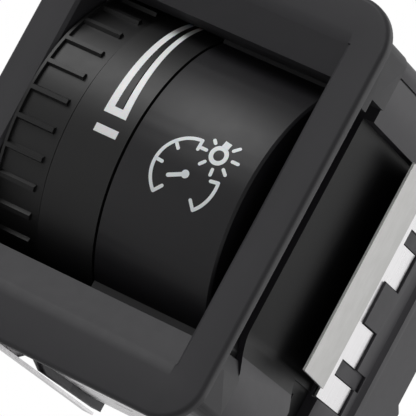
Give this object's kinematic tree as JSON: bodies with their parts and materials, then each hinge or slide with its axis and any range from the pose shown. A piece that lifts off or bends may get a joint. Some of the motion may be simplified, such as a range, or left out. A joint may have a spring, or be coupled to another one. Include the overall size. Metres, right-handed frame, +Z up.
{
  "type": "headlight switch panel dimmer module",
  "caption": "Instrument light dimmer of a headlight switch panel: ribbed thumbwheel with a wedge scale beside a fixed symbol panel, in a clip-in body with a rear connector.",
  "frame": {"origin": "middle of the plane of the bezel's back face, which seats on the dashboard panel", "axes": "+X to the right seen from the front, +Y from the bezel back into the dashboard, +Z up; the thumbwheel turns about an axis along +X"},
  "size_m": [0.037, 0.0543, 0.045],
  "materials": {
    "bezel_plastic": "fine grain, dark grey",
    "body_plastic": "satin moulded, dark grey",
    "panel_plastic": "soft satin, near black",
    "wheel_plastic": "soft satin, near black",
    "white_plastic": "translucent white",
    "clear_plastic": "clear polished plastic",
    "spring_steel": "rolled spring sheet",
    "pin_steel": "drawn pin",
    "sensor_plastic": "satin blue",
    "board_laminate": "solder mask green",
    "lamp_resin": "resin over white case",
    "chip_ceramic": "black chip bodies",
    "terminal_brass": "bright blade"
  },
  "bodies": {
    "module": {"bezel": "bezel_plastic", "housing": "body_plastic", "rear_cover": "body_plastic", "symbol_panel": "panel_plastic", "light_guide": "clear_plastic", "wheel_axle": "pin_steel", "drag_washer": "spring_steel", "sensor_body": "sensor_plastic", "circuit_board": "board_laminate", "symbol_led": "lamp_resin", "scale_led": "lamp_resin", "board_resistors": "chip_ceramic", "terminal_1": "terminal_brass", "terminal_2": "terminal_brass", "terminal_3": "terminal_brass", "terminal_4": "terminal_brass", "right_clip": "spring_steel", "left_clip": "spring_steel", "bottom_clip": "spring_steel"},
    "wheel": {"thumbwheel": "wheel_plastic", "wheel_core": "white_plastic"},
    "pinion": {"sensor_pinion": "white_plastic"}
  },
  "joints": [
    {"name": "wheel_turn", "type": "hinge", "parent": "module", "child": "wheel", "pos_m": [0, 0.0136, 0.00065], "axis": [1, 0, 0], "range_deg": [0, 84]},
    {"name": "pinion_turn", "type": "hinge", "parent": "module", "child": "pinion", "pos_m": [0, 0.028, 0.00065], "axis": [1, 0, 0], "range_deg": [-255, 3]}
  ],
  "couplings": [
    {"joint": "pinion_turn", "follows": "wheel_turn", "ratio": -3}
  ]
}
